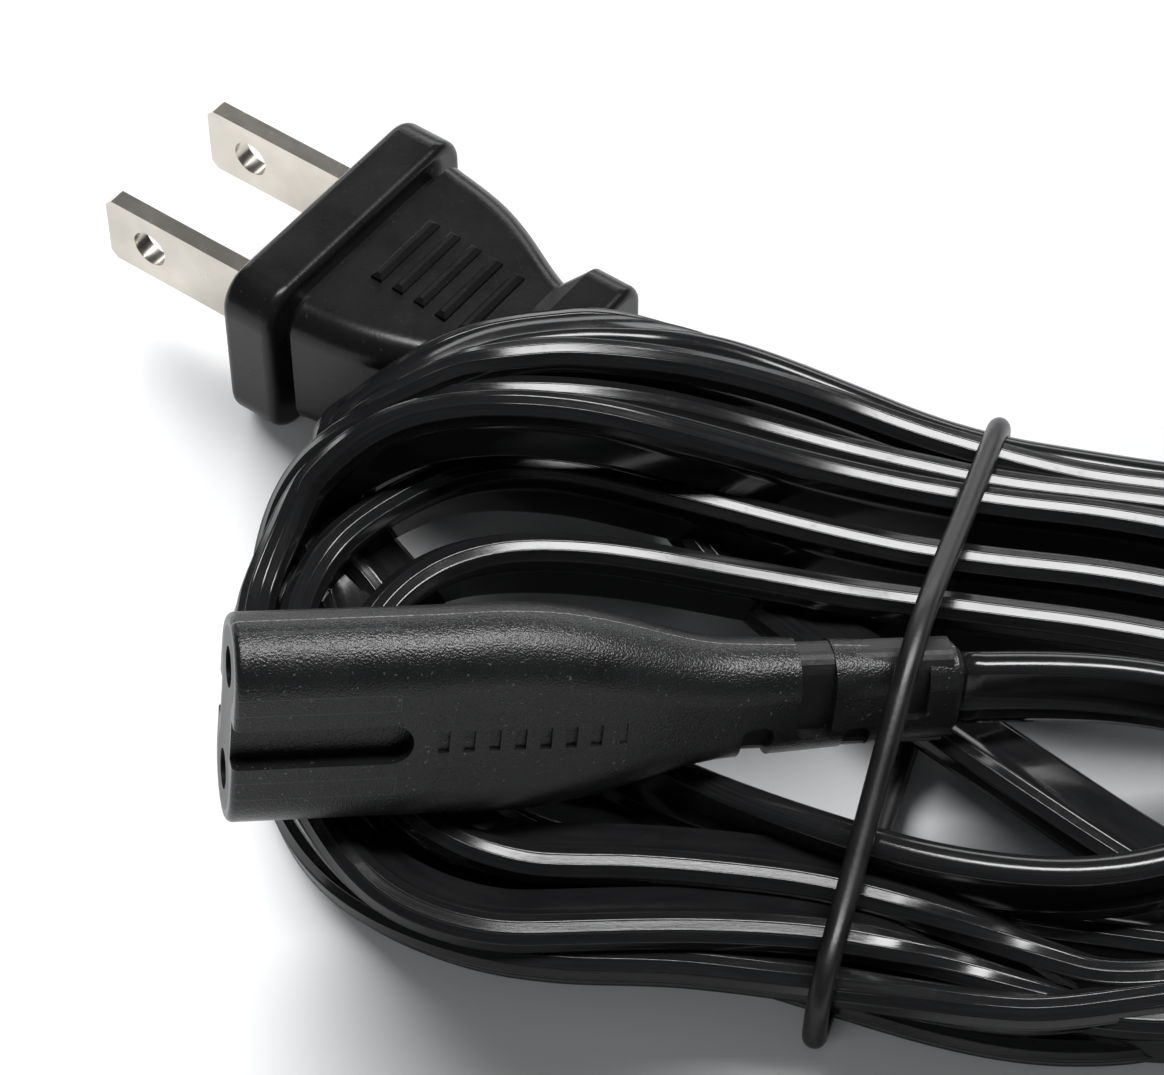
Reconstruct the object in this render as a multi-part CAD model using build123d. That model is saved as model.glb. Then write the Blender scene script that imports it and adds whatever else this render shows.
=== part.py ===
from build123d import *
import math
import os

# Power cord: a figure-8 appliance connector, a flat twin cord wound into a loose
# hank held by a rubber tie, and a two-blade wall plug. Millimetres, +Z up, the
# table at Z = 0 and the origin under the middle of the connector and the plug.

# Flat twin cord
cord_width = 5.6
cord_thickness = 2.8
cord_edge = 0.29  # flats at the tubes' corners, as a share of the thickness
copper_radius = 0.6
leg_gap = 0.04  # between the two legs where the cord's web is slit

# Connector, measured back from its nose face
nose_width = 16.0
nose_thickness = 8.0
nose_length = 14.0
connector_length = 52.5
body_stations = ((22.6, 15.6, 8.0), (26.4, 14.0, 7.8), (30.4, 11.5, 7.2), (35.4, 9.2, 6.4))
relief_end_width = 7.2
relief_end_thickness = 4.4
groove_length = 12.5
groove_width = 3.2
groove_depth = 1.4
mark_count = 8
mark_start = 14.6
mark_pitch = 1.8
mark_size = (0.8, 1.75)
mark_depth = 0.35
slot_corner = 0.7
pin_pitch = 8.6
pin_hole_radius = 1.45
pin_hole_depth = 1.2
# Slots of the strain relief: start, end, edge (1 upper, -1 lower), reach in from it
relief_slots = ((36.2, 38.5, -1, 3.4), (40.2, 42.8, 1, 6.0), (43.8, 45.8, -1, 2.8),
                (47.2, 49.8, 1, 5.0))

# Connector insert and contacts
insert_radius = 2.9
insert_web = 4.2
insert_length = 12.4
sleeve_radius = 1.75
sleeve_bore = 1.25
sleeve_length = 9.4
sleeve_slit = 0.5
contact_neck_length = 1.4
barrel_radius = 1.4
barrel_length = 4.0
strip_length = 1.0  # bare copper between a crimp barrel and the insulation
connector_split = 34.0  # where the cord's two lobes part

# Plug, measured back from the face that meets the wall
flange_width = 24.5
flange_height = 15.0
flange_thickness = 4.8
flange_corner = 3.0
groove_floor_width = 19.6
groove_floor_height = 10.8
shoulder_start = 5.8
shoulder_corner = 2.4
plug_stations = (
    (5.8, 21.7, 12.6),
    (10.4, 20.2, 12.2),
    (14.3, 17.6, 11.5),
    (17.2, 15.0, 10.5),
    (19.5, 13.4, 9.6),
)
collar_start = 21.0
collar_width = 18.2
collar_height = 11.0
plug_length = 24.8
rib_count = 5
rib_start = 8.7
rib_pitch = 2.05
rib_width = 1.0
rib_length = 7.4
rib_rise = 0.6
rib_root = 4.0  # a rib starts this high above the plug's middle, inside the housing

# Plug blades and the block that carries them
blade_pitch = 12.7
blade_width = 6.35
blade_thickness = 1.5
blade_length = 16.6
blade_tip = 1.0
blade_hole_radius = 1.6
blade_hole_from_face = 11.9
blade_tail = 11.0
block_width = 17.4
block_height = 8.6
block_start = 2.0
block_length = 7.0
plug_barrel_radius = 1.35
plug_barrel_length = 3.6
plug_split = 23.0

# Where the connector and the plug lie
connector_nose = Vector(-19.1, -31.5, 16.8)
connector_run = Vector(51.7, 8.7, -7.8)
connector_roll = 16.0
plug_face = Vector(-15.3, 21.3, flange_height / 2)
plug_azimuth = -36.0

# Route of the cord from the strain relief round its loop and under the connector
lead_points = (
    (48.4, -21.8, 6.8),
    (55.5, -24.2, 6.2),
    (56.6, -31.5, 6.0),
    (50.0, -36.2, 6.2),
    (41.0, -39.0, 6.8),
    (31.0, -37.9, 6.4),
    (21.5, -34.2, 6.0),
    (12.5, -28.6, 3.4),
    (3.4, -23.9, 2.9),
    (-3.6, -21.3, 2.9),
    (-9.6, -20.4, 2.9),
)
lead_start_run = 7.4

# Route of the cord from the plug under the back of the hank to its front
plug_lead_points = (
    (12.6, -0.6, 4.6),
    (17.6, -7.0, 2.0),
    (25.3, -15.6, 3.2),
    (35.0, -24.8, 3.6),
    (47.0, -33.8, 1.8),
    (58.5, -42.0, 1.6),
)
plug_lead_start_run = 4.5

# Hank: stations round the winding, each with its inner and outer point and the
# height of its underside at the inner, middle and outer turns
hank_height = 5.8
hank_stations = (
    ((33.5, -14.0), (36.5, 3.2), 2.6, 1.9, 1.9),
    ((24.0, -12.6), (25.5, 6.4), 5.2, 4.0, 3.2),
    ((17.0, -11.2), (17.0, 8.2), 4.8, 6.8, 8.8),
    ((8.0, -9.8), (8.5, 7.6), 3.6, 13.6, 13.6),
    ((0.5, -10.6), (-2.0, 6.2), 2.8, 13.6, 13.6),
    ((-4.6, -13.6), (-11.5, 3.0), 1.8, 7.5, 12.0),
    ((-7.2, -17.6), (-18.0, -4.6), 0.0, 1.5, 5.0),
    ((-7.6, -22.5), (-19.8, -16.4), 0.0, 0.0, 0.6),
    ((-6.4, -28.4), (-16.6, -28.2), 0.0, 0.0, 0.0),
    ((-1.0, -32.2), (-7.5, -37.3), 0.0, 0.0, 0.0),
    ((10.5, -33.4), (9.5, -42.9), 0.0, 0.0, 0.0),
    ((22.5, -37.6), (21.0, -45.0), 0.0, 0.0, 0.0),
    ((36.5, -41.6), (36.5, -47.8), 0.0, 0.0, 0.0),
    ((52.0, -41.4), (53.0, -49.0), 0.0, 0.0, 0.0),
    ((66.0, -39.0), (70.0, -48.0), 0.0, 0.0, 0.0),
    ((72.5, -35.5), (82.5, -41.0), 0.0, 0.0, 0.0),
    ((74.0, -30.5), (87.0, -30.5), 0.0, 0.0, 0.0),
    ((72.0, -26.0), (83.5, -20.0), 0.0, 0.0, 0.0),
    ((66.0, -22.5), (72.5, -9.5), 0.0, 0.0, 0.0),
    ((50.0, -17.8), (53.0, -0.5), 0.0, 0.0, 0.0),
)
hank_middle = 0.45  # where the middle turns lie between the inner and outer ones
lead_seat = 6  # the connector's lead meets the inner wall after this station
plug_lead_seat = 13  # and the plug's lead after this one
seat_gap = 0.1
hank_quarters = (0, 5, 9, 14, 20)  # the stations where its four quarters meet

# Tie: where its plane crosses the table, and its corners along that line
tie_radius = 0.85
tie_clearance = 0.2
tie_sides = 8
tie_back = Vector(37.0, 2.8, 0)
tie_front = Vector(21.4, -47.7, 0)
tie_corners = ((-1.6, 0.85), (-1.6, 8.2), (25.6, 15.1), (49.4, 8.3), (50.4, 0.85))
tie_bend = 1.8


def slot_section(x, width, thickness):
    return Plane.YZ.offset(x) * SlotOverall(width, thickness)


def rounded_section(x, width, height, corner):
    return Plane.YZ.offset(x) * RectangleRounded(width, height, corner)


def rod(x, y, length, radius):
    return extrude(Plane.YZ.offset(x) * Pos(y, 0) * Circle(radius), length)


def leg(points, radius):
    start = Plane(origin=points[0], z_dir=Vector(*points[1]) - Vector(*points[0]))
    return sweep(start * Circle(radius), path=Polyline(*points), transition=Transition.RIGHT)


# Connector housing with its nose, grooves, marks and slotted strain relief
def connector_shell():
    nose = extrude(slot_section(0, nose_width, nose_thickness), nose_length)
    nose = fillet(nose.faces().sort_by(Axis.X)[0].outer_wire().edges(), 0.5)
    stations = ((nose_length, nose_width, nose_thickness),) + body_stations
    body = loft([slot_section(*station) for station in stations])
    neck, neck_width, neck_thickness = body_stations[-1]
    relief = loft([
        slot_section(neck, neck_width, neck_thickness),
        slot_section(connector_length, relief_end_width, relief_end_thickness),
    ])
    relief = chamfer(relief.faces().sort_by(Axis.X)[-1].outer_wire().edges(), 0.5)
    shell = nose + body + relief
    groove = Pos(groove_length / 2 - groove_width, 0, nose_thickness / 2 - groove_depth) * extrude(
        SlotOverall(groove_length + 2 * groove_width, groove_width), 2 * groove_depth
    )
    shell -= groove + mirror(groove, Plane.XY)
    for index in range(mark_count):
        mark = Pos(mark_start + index * mark_pitch, 0, nose_thickness / 2) * Box(
            *mark_size, 2 * mark_depth
        )
        shell -= mark + mirror(mark, Plane.XY)
    relief_half_width = (neck_width + relief_end_width) / 4
    for start, end, side, reach in relief_slots:
        depth = reach + neck_width
        middle = side * (relief_half_width - reach + depth / 2)
        slot = Pos((start + end) / 2, middle, 0) * Box(end - start, depth, nose_thickness)
        shell -= fillet(slot.edges().filter_by(Axis.Z), slot_corner)
    return shell


# Insert that carries the two contacts, a figure 8 in section
def connector_insert():
    insert = extrude(Plane.YZ * Rectangle(pin_pitch, insert_web), insert_length)
    for y in (-pin_pitch / 2, pin_pitch / 2):
        insert += rod(0, y, insert_length, insert_radius)
    for y in (-pin_pitch / 2, pin_pitch / 2):
        insert -= rod(0, y, pin_hole_depth, pin_hole_radius)
    return insert


# Brass contact: a split sleeve for the pin, a neck and a crimp barrel
sleeve_end = pin_hole_depth + sleeve_length
barrel_start = sleeve_end + contact_neck_length
barrel_end = barrel_start + barrel_length


def connector_contact(y):
    sleeve = rod(pin_hole_depth, y, sleeve_length, sleeve_radius)
    sleeve -= rod(pin_hole_depth, y, sleeve_length, sleeve_bore)
    slit_side = math.copysign(sleeve_radius, y)
    sleeve -= Pos(pin_hole_depth + sleeve_length / 2, y + slit_side, 0) * Box(
        sleeve_length, sleeve_radius, sleeve_slit
    )
    neck = rod(sleeve_end, y, contact_neck_length, sleeve_bore)
    neck += rod(sleeve_end, y, contact_neck_length / 3, sleeve_radius)
    barrel = rod(barrel_start, y, barrel_length, barrel_radius)
    barrel -= rod(barrel_start, y, barrel_length, copper_radius)
    return sleeve + neck + barrel


# The cord's end inside a housing: a flat stretch slit into two insulated legs
lobe = cord_width / 4


def leg_points(side, wide_x, wide_y, turn_run, split):
    turn_x = wide_x + turn_run
    narrow_x = split - turn_run
    return ((wide_x, side * wide_y, 0), (turn_x, side * wide_y, 0),
            (narrow_x, side * lobe, 0), (split, side * lobe, 0))


def cord_end_outside(wide_x, wide_y, turn_run, split, end):
    outside = extrude(slot_section(split, cord_width, cord_thickness), end - split)
    for side in (-1, 1):
        outside += leg(leg_points(side, wide_x, wide_y, turn_run, split), lobe - leg_gap / 2)
    return outside


def cord_end(wide_x, wide_y, turn_run, split, end):
    insulation = cord_end_outside(wide_x, wide_y, turn_run, split, end)
    for side in (-1, 1):
        insulation -= leg(leg_points(side, wide_x, wide_y, turn_run, split), copper_radius)
    return insulation


def copper_strands(side, wide_x, wide_y, turn_run, split, bare_start):
    bare = rod(bare_start, side * wide_y, wide_x - bare_start, copper_radius)
    return bare + leg(leg_points(side, wide_x, wide_y, turn_run, split), copper_radius)


# Plug housing: flange, groove, tapering grip with ribs, and rear collar
def plug_half_height(x):
    for (x0, _, h0), (x1, _, h1) in zip(plug_stations, plug_stations[1:]):
        if x <= x1:
            return (h0 + (h1 - h0) * (x - x0) / (x1 - x0)) / 2
    return plug_stations[-1][2] / 2


def plug_shell():
    flange = extrude(rounded_section(0, flange_width, flange_height, flange_corner), flange_thickness)
    flange = fillet(
        flange.faces().sort_by(Axis.X)[0].outer_wire().edges()
        + flange.faces().sort_by(Axis.X)[-1].outer_wire().edges(), 0.8)
    floor = extrude(
        rounded_section(flange_thickness, groove_floor_width, groove_floor_height, shoulder_corner),
        shoulder_start - flange_thickness)
    grip = loft([
        rounded_section(x, width, height, shoulder_corner) for x, width, height in plug_stations
    ])
    neck, neck_width, neck_height = plug_stations[-1]
    flare = loft([
        rounded_section(neck, neck_width, neck_height, shoulder_corner),
        rounded_section(collar_start, collar_width, collar_height, shoulder_corner),
    ], ruled=True)
    collar = extrude(
        rounded_section(collar_start, collar_width, collar_height, shoulder_corner),
        plug_length - collar_start)
    collar = fillet(collar.faces().sort_by(Axis.X)[-1].outer_wire().edges(), 0.8)
    shell = flange + floor + grip + flare + collar
    for index in range(rib_count):
        x = rib_start + index * rib_pitch
        top = plug_half_height(x) + rib_rise
        rib = Pos(x, 0, (top + rib_root) / 2) * Box(rib_width, rib_length, top - rib_root)
        rib = chamfer(rib.faces().sort_by(Axis.Z)[-1].edges(), rib_width / 3)
        shell += rib
        shell += mirror(rib, Plane.XY)
    return shell


def plug_block():
    return extrude(rounded_section(block_start, block_width, block_height, 1.5), block_length)


# Blade: a flat bar with a bevelled tip and a hole, its tail ending in a crimp barrel
plug_barrel_end = blade_tail + plug_barrel_length


def plug_blade(y):
    bar = Pos((blade_tail - blade_length) / 2, y, 0) * Box(
        blade_tail + blade_length, blade_thickness, blade_width)
    tip = bar.faces().sort_by(Axis.X)[0].edges()
    bar = chamfer(tip.filter_by(Axis.Y), blade_tip)
    tip = bar.faces().sort_by(Axis.X)[0].edges()
    bar = chamfer(tip.filter_by(Axis.Z), blade_thickness / 4)
    hole = Pos(-blade_hole_from_face, y, 0) * Rot(90, 0, 0) * Cylinder(
        blade_hole_radius, 2 * blade_thickness)
    barrel = rod(blade_tail, y, plug_barrel_length, plug_barrel_radius)
    barrel -= rod(blade_tail, y, plug_barrel_length, copper_radius)
    return bar - hole + barrel


# Cord routes: straight runs joined by tangent arcs
def rounded_route(points):
    corners = [Vector(*point) for point in points]
    radii = []
    for before, corner, after in zip(corners, corners[1:], corners[2:]):
        turn = (corner - before).get_angle(after - corner)
        shorter = min((corner - before).length, (after - corner).length)
        radii.append(0.45 * shorter / math.tan(math.radians(turn) / 2))
    print("radii", [round(radius, 1) for radius in radii])
    return FilletPolyline(*corners, radius=radii)


def cord_tube(points, across):
    path = rounded_route(points)
    start = Plane(origin=points[0], x_dir=across, z_dir=path % 0)
    section = chamfer(Rectangle(cord_width, cord_thickness).vertices(), cord_edge * cord_thickness)
    tube = sweep(start * section, path=path)
    print("tube length", round(path.length, 1), "volume", round(tube.volume, 1),
          "section x length", round(section.area * path.length, 1))
    return tube


# Hank: the outer shape of the winding, lofted in four quarters
def hank_section(inner, outer, inner_base, middle_base, outer_base):
    middle = [a + (b - a) * hank_middle for a, b in zip(inner, outer)]
    base = [(*inner, inner_base), (*middle, middle_base), (*outer, outer_base)]
    top = [(x, y, z + hank_height) for x, y, z in reversed(base)]
    return Wire(Polyline(*base, *top, close=True).edges())


# Inner wall between two stations, seen from the hank's opening
def hank_wall(index):
    start = Vector(*hank_stations[index][0])
    along = (Vector(*hank_stations[index + 1][0]) - start).normalized()
    return Plane(origin=start, x_dir=along, z_dir=Vector(-along.Y, along.X)).offset(seat_gap)


def hank_solid():
    sections = [hank_section(*station) for station in hank_stations]
    sections.append(sections[0])
    winding = Part()
    for first, last in zip(hank_quarters, hank_quarters[1:]):
        winding += Solid.make_loft(sections[first:last + 1], ruled=True)
    return winding


# Tie: a round rubber band that lies in an upright plane across the hank
def tie_path():
    along = (tie_front - tie_back).normalized()
    corners = [tie_back + along * run + Vector(0, 0, height) for run, height in tie_corners]
    return FilletPolyline(*corners, radius=tie_bend, close=True)


def tie_tube(radius):
    path = tie_path()
    start = Plane(origin=path @ 0, z_dir=path % 0)
    return sweep(start * RegularPolygon(radius, tie_sides, major_radius=False), path=path)


# Placing the connector and the plug
rearward = connector_run.normalized()
level = Vector(0, 0, 1).cross(rearward).normalized()
upright = rearward.cross(level)
roll = math.radians(connector_roll)
face_normal = upright * math.sin(roll) - level * math.cos(roll)
connector_place = Plane(origin=connector_nose, x_dir=rearward, z_dir=face_normal)
plug_rearward = Vector(math.cos(math.radians(plug_azimuth)), math.sin(math.radians(plug_azimuth)), 0)
plug_place = Plane(origin=plug_face, x_dir=plug_rearward, z_dir=(0, 0, 1))

nodes = {}

# Connector
half_pin = pin_pitch / 2
connector_leg = (barrel_end + strip_length, half_pin, 3.2)
connector_inner = {
    "connector_insert": connector_insert(),
    "connector_contact_left": connector_contact(half_pin),
    "connector_contact_right": connector_contact(-half_pin),
    "connector_cord_end": cord_end(*connector_leg, connector_split, connector_length),
    "connector_strands_left": copper_strands(
        1, *connector_leg, connector_split, barrel_start + strip_length),
    "connector_strands_right": copper_strands(
        -1, *connector_leg, connector_split, barrel_start + strip_length),
}
for name in ("connector_contact_left", "connector_contact_right"):
    y = half_pin if name.endswith("left") else -half_pin
    pocket = rod(pin_hole_depth, y, insert_length - pin_hole_depth, sleeve_radius)
    connector_inner["connector_insert"] -= pocket
housing = connector_shell()
housing -= extrude(Plane.YZ * Rectangle(pin_pitch, insert_web), insert_length)
for y in (-half_pin, half_pin):
    housing -= rod(0, y, insert_length, insert_radius)
    housing -= rod(insert_length, y, barrel_end - insert_length, barrel_radius)
    housing -= rod(barrel_end, y, strip_length, copper_radius)
housing -= cord_end_outside(*connector_leg, connector_split, connector_length)
nodes["connector_housing"] = connector_place * housing
for name, shape in connector_inner.items():
    nodes[name] = connector_place * shape

# Plug
half_blade = blade_pitch / 2
plug_leg = (plug_barrel_end + strip_length, half_blade, 1.6)
plug_inner = {
    "plug_blade_left": plug_blade(half_blade),
    "plug_blade_right": plug_blade(-half_blade),
    "plug_cord_end": cord_end(*plug_leg, plug_split, plug_length),
    "plug_strands_left": copper_strands(1, *plug_leg, plug_split, blade_tail),
    "plug_strands_right": copper_strands(-1, *plug_leg, plug_split, blade_tail),
}
block = plug_block()
plug_housing = plug_shell() - block
for name in ("plug_blade_left", "plug_blade_right"):
    block -= plug_inner[name]
    plug_housing -= plug_inner[name]
for y in (-half_blade, half_blade):
    plug_housing -= rod(blade_tail, y, plug_barrel_length + strip_length, copper_radius)
plug_housing -= cord_end_outside(*plug_leg, plug_split, plug_length)
plug_inner["plug_insert"] = block
nodes["plug_housing"] = plug_place * plug_housing
for name, shape in plug_inner.items():
    nodes[name] = plug_place * shape

# Cord and tie
hank = hank_solid() - tie_tube(tie_radius + tie_clearance)
relief_exit = connector_nose + rearward * connector_length
lead_start = [relief_exit, relief_exit + rearward * lead_start_run]
lead = cord_tube(lead_start + list(lead_points), connector_place.y_dir)
lead = split(lead, bisect_by=hank_wall(lead_seat), keep=Keep.TOP)
plug_exit = plug_face + plug_rearward * plug_length
plug_start = [plug_exit, plug_exit + plug_rearward * plug_lead_start_run]
plug_lead = cord_tube(plug_start + list(plug_lead_points), plug_place.y_dir)
plug_lead = split(plug_lead, bisect_by=hank_wall(plug_lead_seat), keep=Keep.TOP)
nodes["cord_connector_lead"] = lead
nodes["cord_plug_lead"] = plug_lead
nodes["cord_hank"] = hank
nodes["tie_band"] = tie_tube(tie_radius)

os.makedirs("parts", exist_ok=True)
for name, shape in nodes.items():
    export_step(shape, f"parts/{name}.step")
    print(name, "solids", len(shape.solids()), "volume", round(shape.volume, 1))
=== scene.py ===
import math
import bpy
import bmesh
from mathutils import Matrix, Vector


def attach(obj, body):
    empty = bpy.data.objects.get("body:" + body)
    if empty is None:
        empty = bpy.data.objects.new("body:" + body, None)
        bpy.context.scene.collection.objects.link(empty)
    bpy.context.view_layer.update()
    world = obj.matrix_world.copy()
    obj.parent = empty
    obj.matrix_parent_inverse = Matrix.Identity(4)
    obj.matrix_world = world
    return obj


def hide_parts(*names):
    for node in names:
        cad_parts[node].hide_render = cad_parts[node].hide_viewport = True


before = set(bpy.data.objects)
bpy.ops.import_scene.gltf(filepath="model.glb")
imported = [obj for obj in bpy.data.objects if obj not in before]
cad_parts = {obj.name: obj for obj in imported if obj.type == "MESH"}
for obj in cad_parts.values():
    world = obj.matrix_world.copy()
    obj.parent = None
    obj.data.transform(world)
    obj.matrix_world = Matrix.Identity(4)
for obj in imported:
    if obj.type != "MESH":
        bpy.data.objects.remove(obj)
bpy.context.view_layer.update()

mm = 0.001


def deselectAll():
    bpy.ops.object.select_all(action="DESELECT")


def makeCurve(name, points, resolution, cyclic=False, bevel=0.0):
    curve = bpy.data.curves.new(name, "CURVE")
    curve.dimensions = "3D"
    curve.resolution_u = resolution
    curve.bevel_depth = bevel
    curve.bevel_resolution = 8
    spline = curve.splines.new("NURBS")
    spline.points.add(len(points) - 1)
    for handle, point in zip(spline.points, points):
        handle.co = (*point, 1)
    spline.use_cyclic_u = cyclic
    spline.order_u = 3
    spline.use_endpoint_u = not cyclic
    piece = bpy.data.objects.new(name, curve)
    bpy.context.scene.collection.objects.link(piece)
    return piece


def readSpline(name, points, resolution):
    guide = makeCurve(name, points, resolution)
    bpy.context.view_layer.update()
    mesh = bpy.data.meshes.new_from_object(guide)
    places = [vertex.co.copy() for vertex in mesh.vertices]
    bpy.data.objects.remove(guide)
    bpy.data.meshes.remove(mesh)
    return places


class Link:
    def __init__(self, maker, socket):
        self.maker = maker
        self.socket = socket

    def maths(self, kind, *values):
        return self.maker.node("ShaderNodeMath", {"operation": kind}, dict(enumerate(values)))

    def __add__(self, other):
        return self.maths("ADD", self, other)

    def __radd__(self, other):
        return self.maths("ADD", other, self)

    def __sub__(self, other):
        return self.maths("SUBTRACT", self, other)

    def __rsub__(self, other):
        return self.maths("SUBTRACT", other, self)

    def __mul__(self, other):
        return self.maths("MULTIPLY", self, other)

    def __rmul__(self, other):
        return self.maths("MULTIPLY", other, self)

    def __lt__(self, other):
        return self.maths("LESS_THAN", self, other)

    def __gt__(self, other):  # the reflected form of less than
        return self.maths("GREATER_THAN", self, other)

    def __abs__(self):
        return self.maths("ABSOLUTE", self)


class NodeMaker:
    def __init__(self, tree):
        self.nodes = tree.nodes
        self.links = tree.links

    def put(self, socket, value):
        if isinstance(value, Link):
            self.links.new(value.socket, socket)
        else:
            socket.default_value = value

    def node(self, kind, settings, values, output=0):
        made = self.nodes.new(kind)
        for name, value in settings.items():
            setattr(made, name, value)
        for name, value in values.items():
            self.put(made.inputs[name], value)
        return Link(self, made.outputs[output])


class Finish(NodeMaker):
    def __init__(self, name):
        self.material = bpy.data.materials.new(name)
        self.material.use_nodes = True
        super().__init__(self.material.node_tree)
        self.surface = self.nodes["Principled BSDF"]

    def place(self, socket="Object", scale=(1, 1, 1)):
        where = self.node("ShaderNodeTexCoord", {}, {}, socket)
        return self.node("ShaderNodeMapping", {}, {"Vector": where, "Scale": scale})

    def noise(self, where, scale, detail, rough):
        return self.node("ShaderNodeTexNoise", {}, {
            "Vector": where, "Scale": scale, "Detail": detail, "Roughness": rough})

    def ramp(self, value, low, high, start=0.0, end=1.0):
        return self.node("ShaderNodeMapRange", {"clamp": True}, {
            "Value": value, "From Min": low, "From Max": high, "To Min": start, "To Max": end})

    def blend(self, factor, one, two):
        return self.node("ShaderNodeMix", {"data_type": "RGBA"}, {0: factor, 6: one, 7: two}, 2)

    def bump(self, height, distance, strength, under=None):
        values = {"Height": height, "Distance": distance * mm, "Strength": strength}
        if under:
            values["Normal"] = under
        return self.node("ShaderNodeBump", {}, values)

    def finish(self, **values):
        for name, value in values.items():
            self.put(self.surface.inputs[name.replace("_", " ")], value)
        return self.material


cameraSettings = {"lookAt": (5.4, -1.2, 0.0), "elevation": 50.0, "distance": 293.0,
                  "focalPixels": 3790.0, "imageWidth": 1164, "sensor": 36.0, "nearClip": 10.0}


def makeCamera(s):
    tilt = math.radians(s["elevation"])
    camera = bpy.data.cameras.new("photoCamera")
    camera.sensor_width = s["sensor"]
    camera.lens = s["focalPixels"] / s["imageWidth"] * s["sensor"]
    camera.clip_start = s["nearClip"] * mm
    holder = bpy.data.objects.new("photoCamera", camera)
    back = Vector((0, -math.cos(tilt), math.sin(tilt))) * s["distance"]
    holder.location = (Vector(s["lookAt"]) + back) * mm
    holder.rotation_euler = (math.radians(90) - tilt, 0, 0)
    bpy.context.scene.collection.objects.link(holder)
    bpy.context.scene.camera = holder


makeCamera(cameraSettings)
print("camera set")

cordSettings = {
    "width": 5.6, "thickness": 2.8, "waist": 0.98, "facet": 35.0, "facets": 6,
    "ridge": 0.065, "ridgeHalf": 4.0, "crisp": 1.5, "resolution": 8,
    "smoothStart": 112.0, "smoothStep": 8.5, "smoothPoints": 17,
    "dark": (0.0095, 0.0097, 0.0105, 1), "pale": (0.017, 0.0172, 0.018, 1),
    "streakStretch": (0.12, 60, 1), "fineStretch": (2.0, 150, 1), "scuffScale": 900.0,
    "rough": (0.11, 0.19), "scuffRough": 0.12, "streakDepth": 0.01,
}

# Points of the cord's line in millimetres: x, y, height of its middle, and the lean of its ribbed
# edge in degrees, from upright toward the right of the way it runs. The laps run clockwise as
# seen from above.
leadRun = [
    (32.1, -22.88, 9.08, 163), (39.32, -21.67, 7.99, 165), (48.4, -21.8, 6.8, 170),
    (55.5, -24.2, 6.2, 176), (56.6, -31.5, 6.0, 180), (50.0, -36.2, 6.2, 182),
    (41.0, -38.9, 6.4, 182), (31.0, -37.5, 6.0, 180), (21.5, -33.8, 5.6, 180),
    (12.5, -28.6, 3.6, 195), (3.4, -23.9, 2.9, 270), (-3.6, -21.3, 2.9, 340),
    (-9.6, -19.4, 3.2, 358),
]
backE = [
    (-11.0, -15.4, 4.6, 17), (-8.6, -11.8, 5.3, 17), (-5.0, -8.8, 5.0, 13), (-0.3, -7.5, 4.6, 2),
    (5.3, -7.5, 4.4, 0), (10.5, -8.2, 4.2, 0), (15.4, -9.4, 4.2, 0), (20.2, -10.5, 4.2, 0),
    (25.0, -11.6, 4.2, 0), (29.8, -12.6, 4.4, 0), (36.2, -13.7, 4.4, 0), (44.1, -14.8, 4.2, 0),
]
rightE = [
    (52.5, -16.4, 3.6, 0), (60.5, -18.4, 3.0, 0), (67.2, -21.4, 2.9, 0), (72.7, -25.4, 2.9, 0),
    (75.0, -30.8, 2.9, 0), (73.1, -36.2, 2.9, 0), (67.0, -39.9, 3.2, 0), (58.5, -42.6, 3.8, 0),
    (50.0, -45.0, 4.2, 0),
]
frontP2 = [
    (41.6, -45.7, 4.2, -8), (37.5, -43.5, 4.4, -24), (33.5, -41.0, 4.6, -44),
    (29.3, -38.3, 4.8, -70), (25.1, -37.0, 4.9, -70), (20.8, -36.0, 5.0, -70),
    (16.6, -35.4, 5.0, -70), (12.3, -34.9, 5.0, -70), (8.2, -34.6, 5.0, -70),
    (4.8, -34.6, 5.0, -70), (1.3, -34.4, 5.0, -70), (-3.6, -33.0, 5.0, -58),
    (-8.6, -29.6, 5.2, -34), (-12.6, -25.0, 5.4, -12), (-15.2, -19.8, 5.6, 0),
]
backD = [
    (-16.3, -14.3, 5.6, 16), (-14.2, -8.8, 5.9, 17), (-11.2, -5.7, 6.4, 17),
    (-6.5, -3.0, 7.2, 15), (-2.7, -2.2, 7.7, 8), (1.5, -2.1, 7.7, 0), (5.5, -2.3, 7.2, 0),
    (10.5, -3.2, 6.4, 0), (15.4, -4.3, 5.8, 0), (20.3, -5.5, 5.2, 0), (25.2, -6.7, 4.8, 0),
    (30.0, -7.9, 4.6, 0), (36.5, -8.9, 4.4, 0), (44.6, -9.8, 4.2, 0),
]
rightD = [
    (53.0, -11.4, 3.6, 0), (62.0, -13.6, 3.0, 0), (69.0, -17.6, 2.9, 0), (75.3, -23.2, 2.9, 0),
    (77.9, -30.8, 2.9, 0), (75.5, -38.4, 2.9, 0), (68.4, -43.4, 2.9, 0), (58.5, -46.4, 2.8, 0),
    (49.5, -48.2, 2.9, 0),
]
frontP3 = [
    (40.7, -48.0, 3.2, 0), (35.9, -46.0, 3.6, -16), (31.2, -43.4, 4.0, -40),
    (27.1, -41.2, 4.4, -70), (21.8, -40.3, 4.7, -70), (14.9, -39.9, 4.8, -70),
    (9.3, -39.9, 4.8, -70), (4.0, -40.1, 4.8, -70), (-0.1, -40.2, 4.8, -70),
    (-3.7, -39.3, 4.8, -70), (-6.9, -37.8, 4.9, -68), (-9.6, -35.6, 5.0, -58),
    (-12.9, -31.7, 5.2, -38), (-16.0, -26.8, 5.4, -15), (-18.3, -20.6, 5.6, 0),
]
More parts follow.
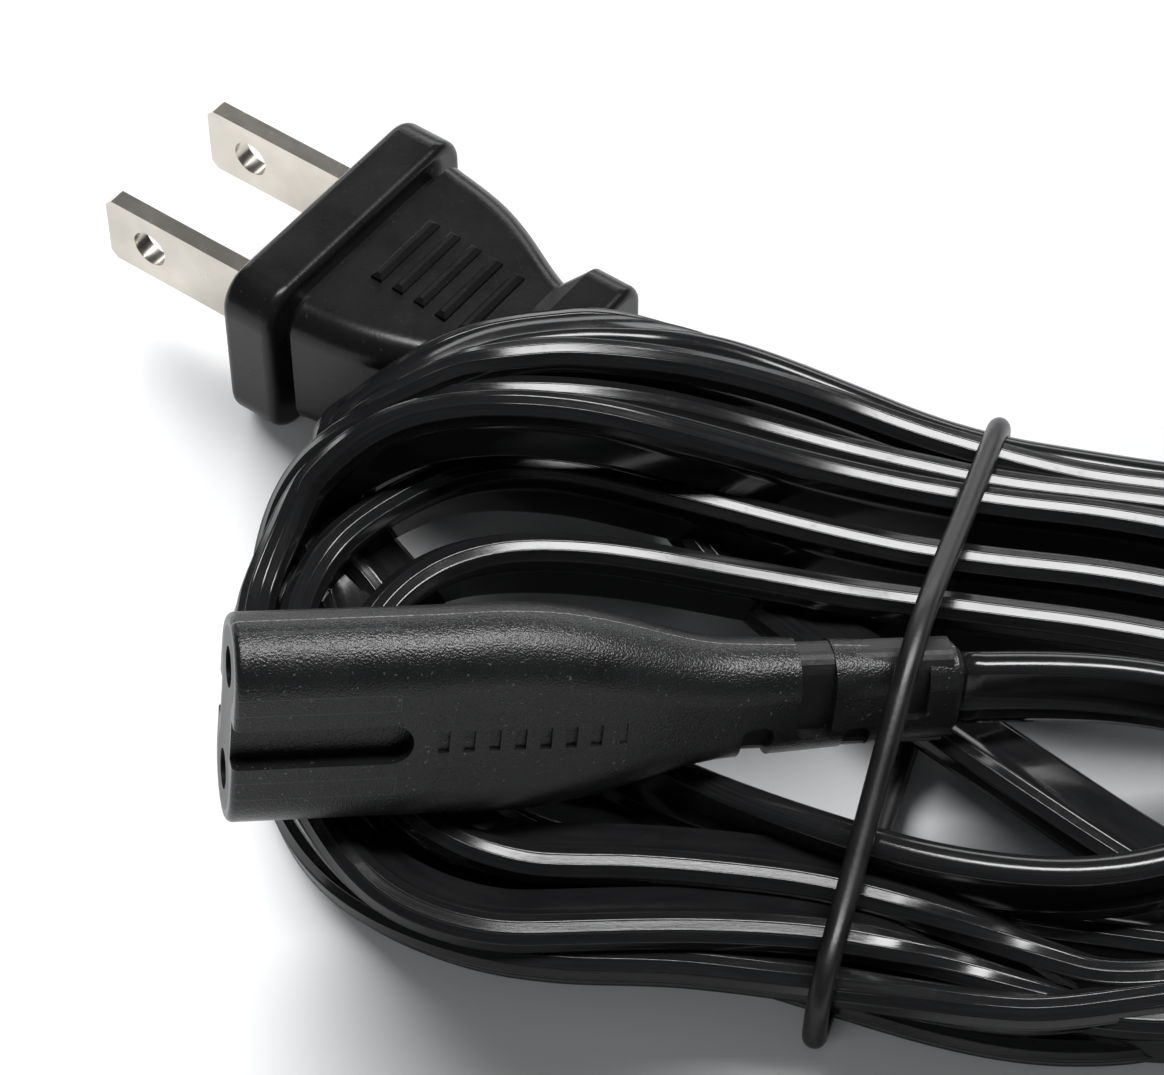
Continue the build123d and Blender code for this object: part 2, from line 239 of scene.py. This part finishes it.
backC = [
    (-19.3, -14.3, 5.6, 16), (-18.2, -10.2, 6.4, 17), (-15.6, -5.2, 8.4, 12),
    (-12.1, -3.7, 11.2, 2), (-8.0, -3.0, 13.8, -6), (-3.5, -3.1, 15.3, -8),
    (0.9, -3.3, 15.7, -8), (5.5, -3.4, 15.2, -6), (10.1, -3.2, 13.6, 0), (15.3, -2.9, 11.2, 0),
    (20.2, -2.7, 9.0, 0), (25.3, -2.7, 7.2, 0), (30.2, -2.9, 5.9, 0), (36.9, -3.4, 4.8, 0),
    (45.1, -4.0, 4.2, 0),
]
rightC = [
    (53.5, -5.6, 3.6, 0), (63.0, -8.2, 3.0, 0), (71.0, -13.4, 2.9, 0), (77.6, -21.0, 2.9, 0),
    (80.8, -30.8, 2.9, 0), (78.0, -40.2, 2.9, 0), (70.0, -45.0, 3.2, 0), (60.5, -46.6, 3.6, 0),
    (51.0, -46.6, 4.0, 0),
]
frontP4 = [
    (44.2, -46.7, 4.0, -17), (37.3, -47.8, 4.0, -17), (33.3, -47.5, 3.8, -17),
    (26.6, -45.1, 3.0, -34), (19.9, -43.0, 2.6, -52), (13.3, -41.9, 2.4, -52),
    (9.3, -41.6, 2.3, -52), (3.9, -41.5, 2.3, -52), (-1.9, -40.4, 2.3, -55),
    (-8.2, -37.0, 2.1, -65), (-12.0, -33.0, 1.9, -75), (-14.6, -27.6, 1.6, -86),
    (-17.0, -20.2, 1.5, -88),
]
backB = [
    (-17.0, -14.0, 1.5, -88), (-17.0, -8.8, 2.2, -84), (-16.4, -5.0, 4.6, -66),
    (-14.6, -2.9, 8.0, -45), (-11.8, -1.8, 10.6, -28), (-8.1, -1.2, 12.6, -16),
    (-4.4, -0.8, 13.8, -12), (-0.2, -0.4, 14.2, 0), (3.6, -0.4, 14.1, 0), (6.7, -0.2, 13.4, 0),
    (10.5, 0.3, 12.0, 0), (15.5, 0.8, 9.8, 0), (20.4, 0.7, 8.0, 0), (25.4, 0.3, 6.5, 0),
    (30.4, -0.2, 5.4, 0), (37.1, -1.4, 4.6, 0), (45.3, -2.3, 4.2, 0),
]
rightB = [
    (54.0, -3.4, 3.8, 0), (64.0, -5.8, 3.0, 0), (72.6, -11.0, 2.9, 0), (80.0, -19.6, 2.9, 0),
    (83.6, -30.8, 2.9, 0), (80.4, -41.0, 2.9, -20), (71.2, -46.4, 2.2, -60),
    (60.5, -47.8, 1.6, -84), (52.0, -47.0, 1.5, -88),
]
frontP5 = [
    (45.8, -46.2, 1.5, -88), (41.8, -46.9, 1.5, -88), (36.3, -46.8, 1.5, -88),
    (30.3, -45.4, 1.5, -88), (22.7, -42.6, 1.5, -88), (14.5, -39.6, 1.5, -88),
    (6.0, -37.4, 1.5, -88), (-0.2, -35.2, 1.5, -88), (-5.0, -31.4, 1.5, -88),
    (-8.6, -26.2, 1.5, -88), (-10.6, -20.0, 1.5, -88),
]
backA = [
    (-11.4, -14.0, 1.5, -88), (-12.6, -8.6, 2.0, -86), (-14.6, -4.6, 4.6, -80),
    (-13.6, -1.7, 8.4, -64), (-10.3, -1.5, 11.8, -40), (-7.0, -0.5, 14.0, -25),
    (-3.6, 0.9, 15.2, -16), (-0.4, 1.8, 15.6, 0), (3.5, 2.2, 15.7, 0), (6.2, 2.4, 15.3, 0),
    (9.7, 2.8, 14.4, 0), (14.2, 3.4, 12.7, 0), (19.6, 3.9, 10.2, 0), (25.0, 3.8, 7.8, 0),
    (30.5, 2.9, 5.9, 0), (35.7, 1.8, 4.9, 0), (40.5, 0.5, 4.4, 0), (45.4, -0.6, 4.1, 0),
]
rightA = [
    (55.0, -1.0, 3.0, 0), (65.0, -2.8, 2.9, 0), (74.2, -8.4, 2.9, 0), (82.2, -18.0, 2.9, 0),
    (86.4, -30.8, 2.9, 0), (82.2, -41.4, 2.4, -30), (71.0, -43.8, 1.6, -80),
    (60.0, -41.4, 1.5, -88), (51.0, -39.4, 1.5, -88),
]
frontP6 = [
    (44.0, -38.4, 1.5, -88), (36.0, -37.0, 1.5, -88), (28.0, -34.8, 1.5, -88),
    (20.0, -33.0, 1.5, -88), (12.0, -31.6, 1.5, -88), (4.0, -30.2, 1.5, -88),
    (0.2, -28.0, 1.5, -88), (-3.2, -24.4, 1.5, -88), (-5.0, -20.2, 1.5, -88),
]
backX = [
    (-5.8, -14.4, 1.5, -88), (-8.2, -8.2, 1.6, -86), (-13.4, -3.4, 4.2, -90),
    (-12.6, 1.6, 9.2, -100), (-10.5, 1.8, 11.4, -108), (-7.2, 2.7, 13.8, -112),
    (-4.5, 3.8, 14.8, -114), (-1.8, 5.0, 15.0, -115), (0.8, 5.6, 15.1, -115),
    (3.5, 6.1, 15.0, -115), (6.2, 6.6, 14.8, -112), (10.0, 7.0, 13.8, -122),
    (14.4, 7.7, 11.8, -136), (19.4, 7.3, 9.6, -150), (26.0, 5.7, 7.0, -165),
    (32.1, 3.7, 5.2, -175), (37.6, 2.8, 3.8, -180), (42.2, 2.3, 3.2, -180),
    (50.1, 0.9, 2.9, -180),
]
rightX = [
    (60.0, -0.6, 2.9, -180), (68.0, -1.8, 2.9, -178), (77.0, -6.6, 2.9, -172),
    (84.9, -16.6, 2.7, -160), (88.4, -30.0, 2.3, -140), (83.0, -41.6, 1.8, -115),
    (72.6, -44.2, 1.6, -98), (65.0, -43.4, 1.6, -92), (58.5, -41.4, 1.6, -90),
]
plugRun = [
    (47.0, -33.8, 1.8, -90), (35.0, -24.8, 3.6, -90), (25.3, -15.6, 3.2, -90),
    (17.6, -7.0, 2.0, -90), (12.6, -0.6, 4.6, -90), (8.4, 4.08, 7.5, -90), (4.76, 6.72, 7.5, -90),
]


def cordRoute():
    route = list(leadRun)
    for lap in (backE, rightE, frontP2, backD, rightD, frontP3, backC, rightC, frontP4, backB,
                rightB, frontP5, backA, rightA, frontP6, backX, rightX, plugRun):
        route += [(x, y, z, lean + 360) for x, y, z, lean in lap]  # the lead has turned once round
    return route


def ribbedSection(s):
    radius = s["thickness"] / 2
    shift = s["width"] / 2 - radius
    half = math.radians(s["facet"] / 2)
    marks = []
    for index in range(s["facets"] + 1):
        middle = (index - s["facets"] / 2) * s["facet"]
        reach = s["ridgeHalf"]
        marks += [(middle - reach - s["crisp"], 0), (middle - reach, 0), (middle, s["ridge"]),
                  (middle + reach, 0), (middle + reach + s["crisp"], 0)]
    outline = []
    for degrees, rise in marks:  # ribbed lobe, flat facets between fine ridges
        angle = math.radians(degrees)
        inFacet = abs((angle / (2 * half)) % 1 - 0.5) * 2 * half
        reach = radius * math.cos(half) / math.cos(inFacet) + rise
        outline.append((shift + reach * math.cos(angle), reach * math.sin(angle)))
    outline.append((0.0, s["waist"]))
    for step in range(s["smoothPoints"]):  # smooth lobe
        angle = math.radians(s["smoothStart"] + step * s["smoothStep"])
        outline.append((-shift + radius * math.cos(angle), radius * math.sin(angle)))
    outline.append((0.0, -s["waist"]))
    return outline


def sweepCord(name, route, s):
    places = readSpline("cordGuide", [Vector(p[:3]) * mm for p in route], s["resolution"])
    leans = readSpline("leanGuide", [(p[3] * mm, 0, 0) for p in route], s["resolution"])
    outline = ribbedSection(s)
    mesh = bmesh.new()
    around = mesh.loops.layers.uv.new("cordMap")
    rings, along = [], []
    run = 0.0
    for index, (place, lean) in enumerate(zip(places, leans)):
        before = places[max(index - 1, 0)]
        after = places[min(index + 1, len(places) - 1)]
        heading = (after - before).normalized()
        side = heading.cross(Vector((0, 0, 1))).normalized()
        up = side.cross(heading)
        angle = math.radians(lean.x / mm)
        wide = up * math.cos(angle) + side * math.sin(angle)
        thick = heading.cross(wide)
        run += (place - before).length
        along.append(run)
        ring = [place + (wide * w + thick * t) * mm for w, t in outline]
        lift = Vector((0, 0, max(0.0, -min(point.z for point in ring))))  # none goes below the floor
        rings.append([mesh.verts.new(point + lift) for point in ring])
    count = len(outline)
    for index, (ring, following) in enumerate(zip(rings, rings[1:])):
        for step in range(count):
            nextStep = (step + 1) % count
            face = mesh.faces.new((ring[step], ring[nextStep], following[nextStep], following[step]))
            face.smooth = True
            spots = ((index, step), (index, step + 1), (index + 1, step + 1), (index + 1, step))
            for loop, (ringIndex, part) in zip(face.loops, spots):
                loop[around].uv = (along[ringIndex] / mm, part / count)
    mesh.faces.new(list(reversed(rings[0])))
    mesh.faces.new(rings[-1])
    bmesh.ops.recalc_face_normals(mesh, faces=mesh.faces)
    data = bpy.data.meshes.new(name)
    mesh.to_mesh(data)
    mesh.free()
    piece = bpy.data.objects.new(name, data)
    bpy.context.scene.collection.objects.link(piece)
    return piece, places, run


def cordFinish(s):  # lengthwise streaks and a few scuffs
    f = Finish("cordPvc")
    streak = f.noise(f.place("UV", s["streakStretch"]), 1.0, 5.0, 0.65)
    fine = f.noise(f.place("UV", s["fineStretch"]), 1.0, 3.0, 0.7)
    scuff = f.noise(f.place(), s["scuffScale"], 6.0, 0.7)
    tone = f.blend(f.ramp(streak, 0.35, 0.7), s["dark"], s["pale"])
    rough = f.ramp(streak, 0.3, 0.7, *s["rough"]) + f.ramp(scuff, 0.55, 0.8, 0.0, s["scuffRough"])
    normal = f.bump(streak * 0.6 + fine * 0.4, s["streakDepth"], 0.45)
    return f.finish(Base_Color=tone, Roughness=rough, Normal=normal)


cord, cordLine, cordLength = sweepCord("cord", cordRoute(), cordSettings)
cord.data.materials.append(cordFinish(cordSettings))
print("cord length", round(cordLength, 4), "rings", len(cordLine))

tieSettings = {
    "radius": 0.86, "resolution": 6, "back": (37.0, 2.8), "front": (21.4, -47.7),
    "dark": (0.008, 0.008, 0.0085, 1), "pale": (0.016, 0.016, 0.0165, 1), "rough": (0.28, 0.42),
    "cloudScale": 240.0, "grainScale": 2200.0, "grainDepth": 0.04,
}
tieCorners = [  # way along the line from back to front, height above the floor
    (-2.2, 0.9), (-2.5, 3.2), (-2.3, 6.2), (0.2, 7.5), (4.5, 8.8), (11.0, 10.7),
    (18.0, 13.2), (24.0, 15.2), (28.0, 15.3), (33.0, 13.6), (40.0, 10.4), (46.0, 7.9),
    (50.4, 6.9), (52.2, 4.8), (52.7, 2.4), (52.6, 0.9), (50.2, 0.88), (40.0, 0.88),
    (30.0, 0.88), (20.0, 0.88), (10.0, 0.88), (0.6, 0.88),
]


def tieFinish(s):
    f = Finish("tieRubber")
    where = f.place()
    grain = f.noise(where, s["grainScale"], 5.0, 0.7)
    cloud = f.noise(where, s["cloudScale"], 3.0, 0.5)
    return f.finish(Base_Color=f.blend(f.ramp(cloud, 0.35, 0.7), s["dark"], s["pale"]),
                    Roughness=f.ramp(cloud, 0.3, 0.7, *s["rough"]),
                    Normal=f.bump(grain, s["grainDepth"], 0.5))


def makeTie(s):
    start = Vector((*s["back"], 0))
    along = (Vector((*s["front"], 0)) - start).normalized()
    points = [(start + along * run + Vector((0, 0, height))) * mm for run, height in tieCorners]
    ring = makeCurve("tieBand", points, s["resolution"], cyclic=True, bevel=s["radius"] * mm)
    ring.data.materials.append(tieFinish(s))
    return ring


tie = makeTie(tieSettings)
print("tie made")

connectorSettings = {
    "nose": (-19.1, -31.5, 16.8), "run": (51.7, 8.7, -7.8), "roll": 16.0,
    # the seam's pale colour below is a painted glint along the parting line round the connector's
    # sides
    "seam": 0.05, "seamPaintedGlint": (0.24, 0.24, 0.235, 1),
    "panels": ((5.8, 8.4, 5.6, 0.6), (5.8, -3.5, 5.6, 0.7), (5.8, 3.5, 5.6, 0.65)),
    # the pale colour of the insert outlines below is a painted highlight, where their edges would
    # catch the light
    "lineWidth": 0.05, "lineDepth": 0.05, "linePaintedHighlight": (0.07, 0.072, 0.076, 1), "lineHighlightAmount": 0.4,
    "coreStart": 35.0, "coreEnd": 51.6, "coreWidth": 8.0, "coreTaper": 0.74, "coreThickness": 3.3,
    "coreRound": 1.2, "coreRoundSteps": 5,
}


def connectorPlace(s):
    rearward = Vector(s["run"]).normalized()
    level = Vector((0, 0, 1)).cross(rearward).normalized()
    upright = rearward.cross(level)
    roll = math.radians(s["roll"])
    facing = upright * math.sin(roll) - level * math.cos(roll)
    side = facing.cross(rearward)
    turn = Matrix((rearward, side, facing)).transposed()
    return Matrix.Translation(Vector(s["nose"]) * mm) @ turn.to_4x4()


def connectorMoulding(f, s):  # the seam, and the outlines of the mould's inserts
    back = connectorPlace(s).inverted()
    local = f.node("ShaderNodeMapping", {}, {
        "Vector": f.place(), "Location": back.translation, "Rotation": back.to_euler()})
    parts = f.node("ShaderNodeSeparateXYZ", {}, {"Vector": local})
    along, across, out = (Link(f, socket) for socket in parts.socket.node.outputs)
    seam = abs(out) < s["seam"] * mm
    lines = None
    for middle, height, halfLength, halfHeight in s["panels"]:
        beside = abs(along - middle * mm) - halfLength * mm
        above = abs(across - height * mm) - halfHeight * mm
        edge = beside.maths("MAXIMUM", beside, above)
        line = abs(edge) < s["lineWidth"] * mm
        lines = line if lines is None else lines.maths("MAXIMUM", lines, line)
    return seam, lines


mouldedLooks = {
    "connectorPvc": {
        "dark": (0.0078, 0.008, 0.0085, 1), "pale": (0.0125, 0.0129, 0.0135, 1), "rough": 0.27,
        "grainScale": 6800.0, "grainDepth": 0.06, "dust": 0.3, "gloss": 0.5},
    "plugPvc": {
        "dark": (0.007, 0.007, 0.0075, 1), "pale": (0.011, 0.011, 0.0115, 1), "rough": 0.25,
        "grainScale": 3000.0, "grainDepth": 0.012, "dust": 0.08, "gloss": 0.32},
    "insertPlastic": {
        "dark": (0.012, 0.012, 0.013, 1), "pale": (0.02, 0.02, 0.021, 1), "rough": 0.38,
        "grainScale": 2000.0, "grainDepth": 0.03, "dust": 0.0, "gloss": 0.4},
}
mouldedShared = {"cloudScale": 180.0, "dustScale": 3600.0, "dustShade": (0.3, 0.3, 0.3, 1),
                 "roughSpread": 0.08, "bumpStrength": 0.8}


def mouldedPlastic(name, moulding=None):
    f = Finish(name)
    s = mouldedLooks[name]
    shared = mouldedShared
    where = f.place()
    grain = f.noise(where, s["grainScale"], 1.0, 0.5)
    cloud = f.noise(where, shared["cloudScale"], 4.0, 0.6)
    dust = f.noise(where, shared["dustScale"], 1.0, 0.4)
    tone = f.blend(f.ramp(cloud, 0.3, 0.7), s["dark"], s["pale"])
    tone = f.blend(f.ramp(dust, 0.71, 0.77, 0.0, s["dust"]), tone, shared["dustShade"])
    normal = f.bump(grain, s["grainDepth"], shared["bumpStrength"])
    if moulding:
        seam, lines = connectorMoulding(f, moulding)
        # painted highlight: the insert outlines are painted paler, as if their edges caught the
        # light; the bump below also sinks them as fine grooves
        tone = f.blend(lines * moulding["lineHighlightAmount"], tone, moulding["linePaintedHighlight"])
        # painted glint: the seam is painted pale, broken up by the dust noise; the bump below also
        # raises it as a fine ridge
        tone = f.blend(seam * f.ramp(dust, 0.35, 0.6, 0.3, 1.0), tone, moulding["seamPaintedGlint"])
        normal = f.bump(seam - lines, moulding["lineDepth"], shared["bumpStrength"], normal)
    rough = f.ramp(cloud, 0.3, 0.7, s["rough"], s["rough"] + shared["roughSpread"])
    return f.finish(Base_Color=tone, Roughness=rough, Specular_IOR_Level=s["gloss"], Normal=normal)


metalLooks = {  # colour, roughness, scale of the wear
    "bladeNickel": ((0.66, 0.62, 0.55), 0.25, 900.0),
    "contactBrass": ((0.76, 0.58, 0.3), 0.28, 900.0),
    "strandCopper": ((0.8, 0.42, 0.26), 0.32, 1500.0),
}
metalShared = {"cloudScale": 220.0, "darker": 0.8, "roughSpread": 0.03, "wearDepth": 0.004}


def plainMetal(name):
    f = Finish(name)
    colour, rough, wearScale = metalLooks[name]
    shared = metalShared
    where = f.place()
    wear = f.noise(where, wearScale, 6.0, 0.65)
    cloud = f.noise(where, shared["cloudScale"], 3.0, 0.5)
    shade = tuple(channel * shared["darker"] for channel in colour)
    return f.finish(Base_Color=f.blend(f.ramp(cloud, 0.3, 0.7), (*shade, 1), (*colour, 1)),
                    Metallic=1.0,
                    Roughness=f.ramp(wear, 0.3, 0.75, rough, rough + shared["roughSpread"]),
                    Normal=f.bump(wear, shared["wearDepth"], 0.35))


connectorPvc = mouldedPlastic("connectorPvc", connectorSettings)
plugPvc = mouldedPlastic("plugPvc")
insertPlastic = mouldedPlastic("insertPlastic")
bladeNickel = plainMetal("bladeNickel")
contactBrass = plainMetal("contactBrass")
strandCopper = plainMetal("strandCopper")

nodeFinishes = {
    "connector_housing": connectorPvc, "plug_housing": plugPvc,
    "connector_insert": insertPlastic, "plug_insert": insertPlastic,
    "connector_contact_left": contactBrass, "connector_contact_right": contactBrass,
    "plug_blade_left": bladeNickel, "plug_blade_right": bladeNickel,
    "connector_strands_left": strandCopper, "connector_strands_right": strandCopper,
    "plug_strands_left": strandCopper, "plug_strands_right": strandCopper,
    "connector_cord_end": plugPvc, "plug_cord_end": plugPvc, "cord_connector_lead": plugPvc,
    "cord_plug_lead": plugPvc, "cord_hank": plugPvc, "tie_band": plugPvc,
}
for nodeName, finish in nodeFinishes.items():
    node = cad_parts[nodeName]
    if not node.material_slots:
        node.data.materials.append(finish)
    for slot in node.material_slots:
        slot.material = finish
print("finishes assigned")


def makeReliefCore(s):  # the web behind the strain relief's slots
    aligned = 0.9  # how much of a normal or an edge has to run along X
    deselectAll()
    bpy.ops.mesh.primitive_cube_add(size=1, location=((s["coreStart"] + s["coreEnd"]) / 2 * mm, 0, 0))
    core = bpy.context.object
    core.name = "reliefCore"
    core.scale = ((s["coreEnd"] - s["coreStart"]) * mm, s["coreWidth"] * mm, s["coreThickness"] * mm)
    bpy.ops.object.transform_apply(location=True, rotation=True, scale=True)
    bpy.ops.object.mode_set(mode="EDIT")
    mesh = bmesh.from_edit_mesh(core.data)
    for face in mesh.faces:
        face.select_set(face.normal.x > aligned)
    bmesh.update_edit_mesh(core.data)
    taper = s["coreTaper"]
    bpy.ops.transform.resize(value=(1, taper, taper))
    bpy.ops.mesh.select_all(action="DESELECT")
    bpy.ops.mesh.select_mode(type="EDGE")
    mesh = bmesh.from_edit_mesh(core.data)
    for edge in mesh.edges:
        edge.select_set(abs((edge.verts[0].co - edge.verts[1].co).normalized().x) > aligned)
    bmesh.update_edit_mesh(core.data)
    bpy.ops.mesh.bevel(offset=s["coreRound"] * mm, segments=s["coreRoundSteps"])
    bpy.ops.object.mode_set(mode="OBJECT")
    core.data.transform(connectorPlace(s))
    core.data.materials.append(insertPlastic)
    return core


reliefCore = makeReliefCore(connectorSettings)
print("relief core made")

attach(cord, "root")
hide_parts("cord_hank", "cord_connector_lead", "cord_plug_lead")
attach(reliefCore, "root")
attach(tie, "root")
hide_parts("tie_band")

stageSettings = {
    "floorSize": 4.0, "floorColour": (0.93, 0.935, 0.95), "floorDarker": 0.985,
    "floorScale": 40.0, "floorRough": 0.75, "lampDistance": 1.0,
    "skyColour": (0.92, 0.96, 1.0, 1), "skyStrength": 0.07, "seenStrength": 1.0,
}
lampSettings = {  # direction, size, power; a lamp named floor lights the floor alone
    "windowLamp": ((0.10, 0.88, 0.40), (1.3, 0.26), 3.4),
    "stripLamp": ((0.27, 0.07, 0.96), (0.78, 0.22), 10.9),
    "floorLamp": ((-0.42, 0.76, 0.47), (0.8, 0.6), 25.0),
    "floorFillLamp": ((-0.5, -0.8, 0.35), (1.2, 0.5), 2.9),
}


def makeFloor(s):
    deselectAll()
    bpy.ops.mesh.primitive_plane_add(size=s["floorSize"])
    paper = bpy.context.object
    paper.name = "floor"
    f = Finish("floorPaper")
    tone = f.noise(f.place(), s["floorScale"], 3.0, 0.5)
    shade = tuple(channel * s["floorDarker"] for channel in s["floorColour"])
    paper.data.materials.append(f.finish(
        Base_Color=f.blend(f.ramp(tone, 0.3, 0.7), (*shade, 1), (*s["floorColour"], 1)),
        Roughness=s["floorRough"]))
    return paper


def makeLamp(name, direction, distance, size, power):
    lamp = bpy.data.lights.new(name, "AREA")
    lamp.shape = "RECTANGLE"
    lamp.size, lamp.size_y = size
    lamp.energy = power
    holder = bpy.data.objects.new(name, lamp)
    away = Vector(direction).normalized()
    upward = away.cross(Vector((1, 0, 0))).normalized()
    turn = Matrix((upward.cross(away), upward, away)).transposed()  # the long side lies along X
    holder.location = away * distance
    holder.rotation_euler = turn.to_euler()
    bpy.context.scene.collection.objects.link(holder)
    return holder


def limitLamp(lamp, floor):  # to the floor alone, or to all but the floor
    reached = bpy.data.collections.new(lamp.name + "Reach")
    reached.objects.link(floor)
    onFloor = lamp.name.startswith("floor")
    reached.collection_objects[0].light_linking.link_state = "INCLUDE" if onFloor else "EXCLUDE"
    lamp.light_linking.receiver_collection = reached


def makeSky(s):  # white where it is seen, and weak where it lights
    world = bpy.data.worlds.new("studio")
    bpy.context.scene.world = world
    world.use_nodes = True
    maker = NodeMaker(world.node_tree)
    toCamera = maker.node("ShaderNodeLightPath", {}, {}, "Is Camera Ray")
    through = maker.node("ShaderNodeLightPath", {}, {}, "Is Transmission Ray")
    seen = toCamera.maths("MAXIMUM", toCamera, through)
    strength = maker.node("ShaderNodeMix", {}, {0: seen, 2: s["skyStrength"], 3: s["seenStrength"]})
    background = maker.nodes["Background"]
    maker.put(background.inputs["Strength"], strength)
    maker.put(background.inputs["Color"], s["skyColour"])


floor = makeFloor(stageSettings)
for lampName, (direction, size, power) in lampSettings.items():
    limitLamp(makeLamp(lampName, direction, stageSettings["lampDistance"], size, power), floor)
makeSky(stageSettings)
bpy.context.scene.view_settings.view_transform = "Standard"
print("stage set")

print("scene ready")
